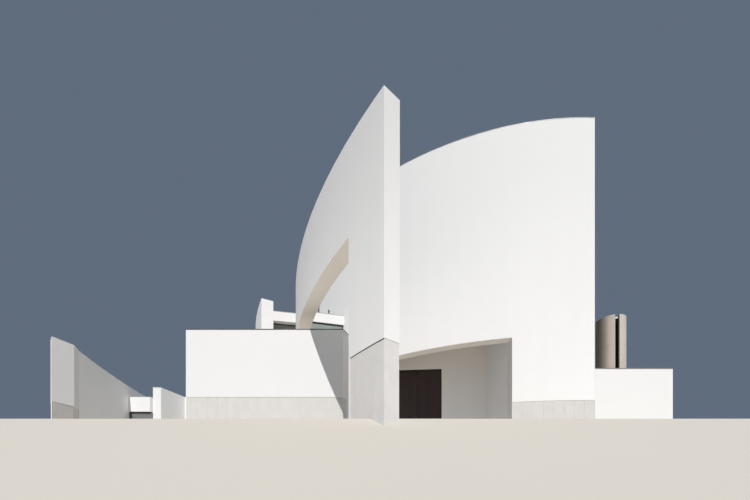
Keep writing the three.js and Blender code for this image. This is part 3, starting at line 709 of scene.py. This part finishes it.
NAVE_INNER = 14.078
SIDE_WALL_INNER = -0.187
NAVE_ROOF, RING_ROOF, ANNEX_ROOF, BLOCK_ROOF, WING_ROOF = 13.5, 8.05, 3.33, 4.613, 4.6
RING_INNER = 19.398
RING_ROOF_CURVE = (-172.0, -64.0)
BLOCK_ROOF_REAR = (-16.245, -8.0)
WING_ROOM = [(-16.99, -0.302), (-20.18, -0.302), (-21.162, -5.758), (-16.56, -5.758)]
side_turn = math.degrees(math.asin(SIDE_WALL_INNER / NAVE_INNER))
upstand("upstand_nave", facets(NAVE_CENTRE, NAVE_INNER, -180 - side_turn, side_turn, FACET_DEG),
        NAVE_ROOF, closed=True)
upstand("upstand_ring", facets(RING_CENTRE, RING_INNER, *RING_ROOF_CURVE, FACET_DEG), RING_ROOF)
upstand("upstand_annex", ANNEX_WALL, ANNEX_ROOF, UPSTAND_BACK)
upstand("upstand_block", [BLOCK_ROOF_REAR, *BLOCK_WALL[1:]], BLOCK_ROOF, UPSTAND_BACK)
upstand("upstand_wing", WING_ROOM, WING_ROOF)

BOX_FACES = np.array([
    (0, 1, 3, 2), (4, 6, 7, 5), (0, 4, 5, 1), (2, 3, 7, 6), (0, 2, 6, 4), (1, 5, 7, 3),
])
BOX_CORNERS = np.array([(x, y, z) for x in (0, 1) for y in (0, 1) for z in (0, 1)])
BAR_EDGE = 0.003
THIN_EDGE = 0.001


def boxes(name, origin, along, spans, material, edge=BAR_EDGE):
    """Bars as boxes in a wall's own frame: low and high (along, out, up), turned to lie on it.

    A corner is origin + a along + o out, at height u, where out is along turned to its right.
    """
    spans = np.asarray(spans, float)
    corner = spans[:, None, 0] + (spans[:, 1] - spans[:, 0])[:, None] * BOX_CORNERS[None]
    along = np.asarray(along, float) / np.linalg.norm(along)
    out = np.array([along[1], -along[0]])
    plan = np.asarray(origin) + corner[..., :1] * along + corner[..., 1:2] * out
    points = np.concatenate([plan, corner[..., 2:]], axis=2).reshape(-1, 3)
    faces = (BOX_FACES[None] + 8 * np.arange(len(spans))[:, None, None]).reshape(-1, 4)
    piece = make_piece(name, points, faces.tolist(), material)
    bevel = piece.modifiers.new("edge", "BEVEL")
    bevel.width = edge
    bevel.segments = 2


def reach(node, along):
    """A node's corners along a line, out to its right and up, from the node's own mesh."""
    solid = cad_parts[node].data
    corners = np.empty(3 * len(solid.vertices))
    solid.vertices.foreach_get("co", corners)
    corners = corners.reshape(-1, 3)
    along = np.array(along) / np.linalg.norm(along)
    return corners[:, :2] @ along, corners[:, :2] @ (along[1], -along[0]), corners[:, 2]


RING_EDGES = {"left": (1, 0.205), "right": (1, 0.25)}
EDGE_STRIP = 0.022
EDGE_LIP = 0.005
EDGE_SEAT, EDGE_PROUD = 0.05, 0.003
SAME_FACE = 0.002


def edge_strip(node, along):
    """A folded metal strip along a slab's front top edge, from end to end of that edge."""
    u, w, up = reach(node, along)
    front = u[w > w.max() - SAME_FACE]
    boxes(f"edge_strip_{node}", (0, 0), along, [
        ((front.min(), w.max() - EDGE_SEAT, up.max() - EDGE_STRIP),
         (front.max(), w.max() + EDGE_PROUD, up.max() + EDGE_LIP)),
    ], cap_grey, THIN_EDGE)


for side, along in RING_EDGES.items():
    edge_strip(f"ring_roof_{side}", along)

ROOF_VENTS = {"left": ((-11.825, -10.02), 0.045, 8.72), "right": ((-11.27, -10.02), 0.03, 8.46)}
VENT_FLANGE, VENT_FOOT = 0.04, 0.06
VENT_CAP_SPREAD = 1.4
VENT_CAP_NECK, VENT_CAP_FOOT, VENT_CAP_CROWN = 0.11, 0.1, 0.03
VENT_SIDES = 20


def turned(name, centre, section, sides, material):
    """A section of (radius, height) points turned about an upright axis, closed at both poles.

    Point (i, j) is centre + radius_i (cos a_j, sin a_j) at height_i; the poles are on the axis.
    """
    section = np.asarray(section, float)
    a = np.linspace(0, 2 * math.pi, sides, endpoint=False)
    ring = np.stack([np.cos(a), np.sin(a)], axis=1)
    plan = np.asarray(centre) + section[1:-1, None, :1] * ring[None]
    height = np.broadcast_to(section[1:-1, None, 1:], (*plan.shape[:2], 1))
    body = np.concatenate([plan, height], axis=2).reshape(-1, 3)
    poles = [(*centre, section[0, 1]), (*centre, section[-1, 1])]
    rows = len(section) - 2
    i, j = np.arange(rows - 1)[:, None], np.arange(sides)[None, :]
    k = (j + 1) % sides
    quads = np.stack(np.broadcast_arrays(i * sides + j, i * sides + k, (i + 1) * sides + k,
                                         (i + 1) * sides + j), axis=-1).reshape(-1, 4).tolist()
    foot, head = rows * sides, rows * sides + 1
    last = (rows - 1) * sides
    fans = [(foot, (j + 1) % sides, j) for j in range(sides)]
    fans += [(head, last + j, last + (j + 1) % sides) for j in range(sides)]
    return make_piece(name, np.vstack([body, poles]), quads + fans, material, smooth=True)


for side, (place, radius, top) in ROOF_VENTS.items():
    cap = radius * VENT_CAP_SPREAD
    vent = turned(f"roof_vent_{side}", place, [
        (0, RING_ROOF), (radius + VENT_FLANGE, RING_ROOF), (radius, RING_ROOF + VENT_FOOT),
        (radius, top - VENT_CAP_NECK), (cap, top - VENT_CAP_FOOT), (cap, top - VENT_CAP_CROWN),
        (radius, top), (0, top),
    ], VENT_SIDES, cap_dark)
    vent.modifiers.new("edge", "BEVEL").width = BAR_EDGE

# --- Painted shade at the fin's stone, and render returns ---
# Over the fin's stone the render stops short on a dark strip: painted shade in the joint. At the
# porch's jamb and on the left pier's end the render, and no stone, runs down to the ground.


def painted_steel(name, colour):
    """Paint on steel: a low shine, with paler scuffs here and there."""
    f = Finish(name)
    scuffs = f.noise(9.0, 4, rough=0.6)
    worn = f.tint(f.ramp(scuffs, (0.35, 0.0), (0.8, 1.0)), colour, tuple(1.9 * c for c in colour))
    return f.set(colour=worn, roughness=0.38 + scuffs * 0.2, metallic=0.3,
                 normal=f.bump(f.noise(60.0, 2), 0.0004, 0.3, f.facing))


BAR_COLOUR = (0.028, 0.027, 0.026)
steel = painted_steel("painted_steel", BAR_COLOUR)
SHADE_STRIP_FOOT, SHADE_STRIP_HEAD = FIN_SLAB_TOP + 0.002, 2.2185
SHADE_STRIP_OUT = 0.003
# A dark strip standing for the shade in the joint: painted shade.
sweep("painted_shade_strip_fin", fin_outer, [
    (0, SHADE_STRIP_FOOT), (SHADE_STRIP_OUT, SHADE_STRIP_FOOT), (SHADE_STRIP_OUT, SHADE_STRIP_HEAD), (0, SHADE_STRIP_HEAD),
], steel)

JAMB_CORNER = (-2.981, -14.268)
JAMB_RETURN = ((0, -0.004, 0.3), (0.508, 0, 2.2797))
boxes("render_return_porch", JAMB_CORNER, (0, 1), [JAMB_RETURN], nave_render,
      THIN_EDGE)
PIER_RETURN_LAP, PIER_RETURN_OUT, PIER_RETURN_TOP = 0.023, 0.018, 2.2195
pier_run = np.subtract(PIER_CORNER, PIER_TIP)
boxes("render_return_pier", PIER_TIP, pier_run, [
    ((0, 0, 0), (np.linalg.norm(pier_run) + PIER_RETURN_LAP, PIER_RETURN_OUT, PIER_RETURN_TOP)),
], flat_render, THIN_EDGE)

# --- Glazing ---
# Dark glass in slim painted steel bars: under the roof's white edge, across the wing's front and
# in the lane. Each screen is one solid pane behind bars that stand a little proud of it.
GLASS_TINT = (0.195, 0.212, 0.2)
# The clerestory panes are paler than the other glass, the right one most: painted reflection.
GLASS_TINT_LEFT_REFLECTION = (0.25, 0.262, 0.24)
GLASS_TINT_RIGHT_REFLECTION = (0.29, 0.325, 0.305)
BAR_FACE = 0.05
BAR_PROUD = 0.03
BAR_SEAT = 0.001
BAR_PITCH = 1.4
LANE_BAR_PITCH = 2.0


def glass_finish(name, tint):
    """Glass over a dark room: nearly smooth, with the faint waves of rolled sheets."""
    f = Finish(name)
    depth = f.noise(0.9, 3)
    colour = f.tint(depth, tuple(0.8 * c for c in tint), tuple(1.25 * c for c in tint))
    normal = f.bump(f.noise(1.4, 2), 0.002, 0.15, f.facing)
    return f.set(colour=colour, roughness=0.06 + depth * 0.04, specular=0.6, normal=normal)


dress(glass_finish("glass", GLASS_TINT), "wing_front_glass", "lane_screen")
dress(glass_finish("glass_left", GLASS_TINT_LEFT_REFLECTION), "clerestory_glass_left")
dress(glass_finish("glass_right", GLASS_TINT_RIGHT_REFLECTION), "clerestory_glass_right")


def glazing_bars(node, along, pitch=BAR_PITCH, jambs=2):
    """Bars along a pane's foot and head with uprights between, from the pane's own extent.

    With two jambs an upright stands at both ends, with one only at the start.
    """
    u, w, up = reach(node, along)
    start, end, face, low, high = u.min(), u.max(), w.max(), up.min(), up.max()
    count = whole_steps(end - start, pitch)
    depth = (face - BAR_SEAT, face + BAR_PROUD)
    spans = [((start + BAR_FACE, depth[0], z), (end - BAR_FACE, depth[1], z + BAR_FACE))
             for z in (low, high - BAR_FACE)]
    at = np.linspace(start, end - BAR_FACE, count + 1)[:count - 1 + jambs]
    spans += [((a, depth[0], low), (a + BAR_FACE, depth[1], high)) for a in at]
    boxes(f"bars_{node}", (0, 0), along, spans, steel)


for side, along in RING_EDGES.items():
    glazing_bars(f"clerestory_glass_{side}", along)
glazing_bars("wing_front_glass", (1, 0))
glazing_bars("lane_screen", (1, 0), LANE_BAR_PITCH, jambs=1)

# --- Shaft ---
# A round shaft of fair-faced concrete beside the annex, open at the top and along one slot. It
# was cast in lifts. Its half left of the slot is duller and its side towards the nave darker:
# painted shade.
SHAFT_CENTRE = (4.2563, -9.634)
SHAFT_BORE = 0.63
CONCRETE_PALE = (0.625, 0.565, 0.515)
# Left of the slot the concrete is duller, and towards the nave it darkens further: painted shade.
CONCRETE_SHADED = (0.56, 0.49, 0.41)
CONCRETE_DARK = (0.38, 0.34, 0.29)
CONCRETE_DEEP_SHADE = (0.1, 0.085, 0.072)
LIFTS = (1.67, 4.07, 6.47)
LIFT_LINE = 0.012
BOARD = 0.12
SLOT_ACROSS = -0.1
SHADE_RISE, SHADE_START, SHADE_MOST = -3.2, 1.42, 0.86
BORE_SHADE = 0.85


def bare_concrete(name):
    """Board-marked concrete: mottled, with runs, pores and a line at each lift.

    Painted shade grows across the shaft towards the nave from a start to a most, and the bore's
    own face is all in painted shade. The half left of the slot is painted duller, as shade.
    """
    f = Finish(name)
    mottle = f.noise(1.3, 6, rough=0.65)
    runs = f.noise(5.0, 5, stretch=(1, 1, 0.12), rough=0.6)
    pores = f.ramp(f.noise(42.0, 3, rough=0.8), (0.0, 0.0), (0.62, 0.0), (0.72, 1.0))
    across = f.x - SHAFT_CENTRE[0]
    # Darker across the shaft towards the nave, and in the bore: painted shade.
    painted_shade = (across * SHADE_RISE - SHADE_START).at_least(0.0).at_most(SHADE_MOST)
    level = f.add("ShaderNodeVectorMath", {"operation": "MULTIPLY"}, {0: f.place, 1: (1, 1, 0)})
    from_axis = f.add("ShaderNodeVectorMath", {"operation": "DISTANCE"},
                      {0: level, 1: (*SHAFT_CENTRE, 0)}, "Value")
    painted_shade = painted_shade.at_least((from_axis < SHAFT_BORE) * BORE_SHADE)
    lift = sum(abs(f.z - height) < LIFT_LINE for height in LIFTS)
    board = abs((f.z % BOARD) - BOARD / 2) * (2 / BOARD)
    stain = (mottle - 0.45) * 1.1 + (runs - 0.5) * 0.9 + pores * 0.35 + lift * 0.6
    # The half left of the slot is duller: painted shade.
    slot_side_tone = f.tint(across < SLOT_ACROSS, CONCRETE_PALE, CONCRETE_SHADED)
    colour = f.tint(stain.at_least(0.0).at_most(1.0), slot_side_tone, CONCRETE_DARK)
    colour = f.tint(painted_shade, colour, CONCRETE_DEEP_SHADE)
    board_joints = f.ramp(board, (0.0, 1.0), (0.93, 1.0), (0.97, 0.0))
    normal = f.bump(board_joints, 0.003, 0.35, round_normal(f, SHAFT_CENTRE))
    normal = f.bump(lift, 0.01, -0.8, normal)
    normal = f.bump(f.noise(30.0, 5, rough=0.7), 0.003, 0.4, normal)
    return f.set(colour=colour, roughness=0.85, specular=0.3, normal=normal)


dress(bare_concrete("bare_concrete"), "shaft")

# A dark screen closes the slot from inside, standing for the deep shade there: painted shade. It
# has a pale coping just below the rim
SLOT_TURN = math.radians(-8)
SCREEN_HALF, SCREEN_OUT, SCREEN_THICK = 0.3, 0.4, 0.03
SCREEN_TOP, COPING_TOP = 7.965, 8.055
slot_run = (math.cos(SLOT_TURN), math.sin(SLOT_TURN))
for name, foot, head, finish in (("shaft_shade_screen", 0.0, SCREEN_TOP, steel),
                                 ("shaft_screen_coping", SCREEN_TOP, COPING_TOP, cap_white)):
    boxes(name, SHAFT_CENTRE, slot_run, [
        ((-SCREEN_HALF, SCREEN_OUT, foot), (SCREEN_HALF, SCREEN_OUT + SCREEN_THICK, head)),
    ], finish)

# --- Entrance ---
# A tall pair of doors of dark stained boards on framed leaves, hung on three knuckles each in a
# brown painted steel frame, with a long round pull on both faces of each leaf.
DOOR_MIDDLE = (-6.557, -10.467)
DOOR_TURN_DEG = -4.56
LEAF = {"hinge": 1.232, "meet": 0.005, "foot": 0.31, "head": 4.982, "front": 0.06, "rear": 0.12}
BOARD_THICK = 0.008
BOARD_WIDTH = 0.1534
GROOVE = 0.006
HINGE_MARGIN = 0.03
THRESHOLD = ((-1.238, -0.13, 0.3), (1.238, 0.0, 0.304))
PULL_RADIUS = 0.016
PULL_STAND = 0.05
PULL_FROM_MEET = 0.11
PULL_FOOT, PULL_HEAD = 1.05, 2.25
PULL_BRACKETS = (PULL_FOOT + 0.12, PULL_HEAD - 0.12)
PULL_SIDES = 16
DOOR_BROWN = (0.026, 0.0102, 0.0085)
DOOR_GREY = (0.05, 0.028, 0.025)
FRAME_BROWN = (0.040, 0.024, 0.020)
door_turn = math.radians(DOOR_TURN_DEG)
door_along = np.array([math.cos(door_turn), math.sin(door_turn)])
door_into = np.array([-door_along[1], door_along[0]])


def stained_oak(name):
    """Stained boards: a grain drawn out upwards, each board its own depth of brown."""
    f = Finish(name)
    grain = f.noise(38.0, 5, stretch=(1, 1, 0.035), rough=0.65)
    weather = f.noise(2.2, 4, stretch=(1, 1, 0.4))
    along = f.x * float(door_along[0]) + f.y * float(door_along[1])
    count = along / BOARD_WIDTH
    cell = count.math("FLOOR", count)
    own = f.add("ShaderNodeTexWhiteNoise", {"noise_dimensions": "1D"}, {"W": cell})
    share = (grain * 0.5 + weather * 0.25 + own * 0.35 - 0.1).at_least(0.0)
    colour = f.tint(share, DOOR_BROWN, DOOR_GREY)
    return f.set(colour=colour, roughness=0.42 + grain * 0.2, coat=0.15, coat_roughness=0.3,
                 normal=f.bump(grain, 0.0012, 0.4, f.facing))


oak = stained_oak("stained_boards")
dress(oak, "door_leaf_left", "door_leaf_right")
frame_steel = painted_steel("brown_steel", FRAME_BROWN)
dress(frame_steel, "door_frame")
boxes("door_threshold", DOOR_MIDDLE, door_along, [THRESHOLD], frame_steel, THIN_EDGE)


def boards(name, start, end, face, toward, body):
    """Boards side by side as one section drawn upwards: flat backs and faces with V grooves.

    The face runs at a thickness in front of the leaf and dips to half of it at every joint. The
    section's points (along, into the nave) are carried from the foot to the head of the leaf.
    """
    count = whole_steps(end - start, BOARD_WIDTH)
    joints = np.linspace(start, end, count + 1)
    first, last = joints[:-1], joints[1:]
    dips = np.stack([first, first + GROOVE / 2, last - GROOVE / 2], axis=1).ravel()
    depths = np.tile([0.5, 1.0, 1.0], count)
    section = np.stack([np.append(dips, [end, end, start]),
                        face + toward * BOARD_THICK * np.append(depths, [0.5, 0, 0])], axis=1)
    plan = DOOR_MIDDLE + section[:, :1] * door_along + section[:, 1:] * door_into
    points = np.concatenate([np.column_stack([plan, np.full(len(plan), z)])
                             for z in (LEAF["foot"], LEAF["head"])])
    n = len(plan)
    i = np.arange(n)
    quads = np.stack([i, (i + 1) % n, (i + 1) % n + n, i + n], axis=1).tolist()
    make_piece(name, points, quads + [list(range(n))[::-1], list(range(n, 2 * n))],
               oak, body)


def tube(name, lines, radius, sides, material, body):
    """Round bars along straight lines: rings of points at both ends, each closed by a flat end.

    A ring's point is the end plus radius (cos a p + sin a q), where p and q stand square to the
    line and to each other.
    """
    lines = np.asarray(lines, float)
    ways = lines[:, 1] - lines[:, 0]
    ways /= np.linalg.norm(ways, axis=1)[:, None]
    helper = np.where(np.abs(ways[:, 2:]) > 0.9, [[1.0, 0, 0]], [[0, 0, 1.0]])
    p = np.cross(ways, helper)
    p /= np.linalg.norm(p, axis=1)[:, None]
    q = np.cross(ways, p)
    a = np.linspace(0, 2 * math.pi, sides, endpoint=False)
    ring = radius * (np.cos(a)[None, :, None] * p[:, None] + np.sin(a)[None, :, None] * q[:, None])
    points = (lines[:, :, None, :] + ring[:, None]).reshape(-1, 3)
    j = np.arange(sides)
    after = (j + 1) % sides
    band = np.stack([j, after, sides + after, sides + j], axis=1)
    faces = []
    for base in range(0, len(points), 2 * sides):
        faces += (base + band).tolist()
        faces += [(base + j[::-1]).tolist(), (base + sides + j).tolist()]
    piece = make_piece(name, points, faces, material, body)
    bevel = piece.modifiers.new("edge", "BEVEL")
    bevel.width = radius * 0.2
    bevel.segments = 2


for side, sign in (("left", -1), ("right", 1)):
    body = f"{side}_door"
    near, far = sorted((sign * LEAF["meet"], sign * LEAF["hinge"]))
    boards(f"door_boards_{side}_front", near, far, LEAF["front"], -1, body)
    near, far = sorted((sign * LEAF["meet"], sign * (LEAF["hinge"] - HINGE_MARGIN)))
    boards(f"door_boards_{side}_rear", near, far, LEAF["rear"], 1, body)
    middle = DOOR_MIDDLE + sign * PULL_FROM_MEET * door_along
    lines = []
    for face, toward in ((LEAF["front"], -1), (LEAF["rear"], 1)):
        foot = middle + (face + toward * BOARD_THICK) * door_into
        bar = middle + (face + toward * (BOARD_THICK + PULL_STAND)) * door_into
        lines += [[(*foot, z), (*bar, z)] for z in PULL_BRACKETS]
        lines.append([(*bar, PULL_FOOT), (*bar, PULL_HEAD)])
    tube(f"door_pull_{side}", lines, PULL_RADIUS, PULL_SIDES, steel, body)
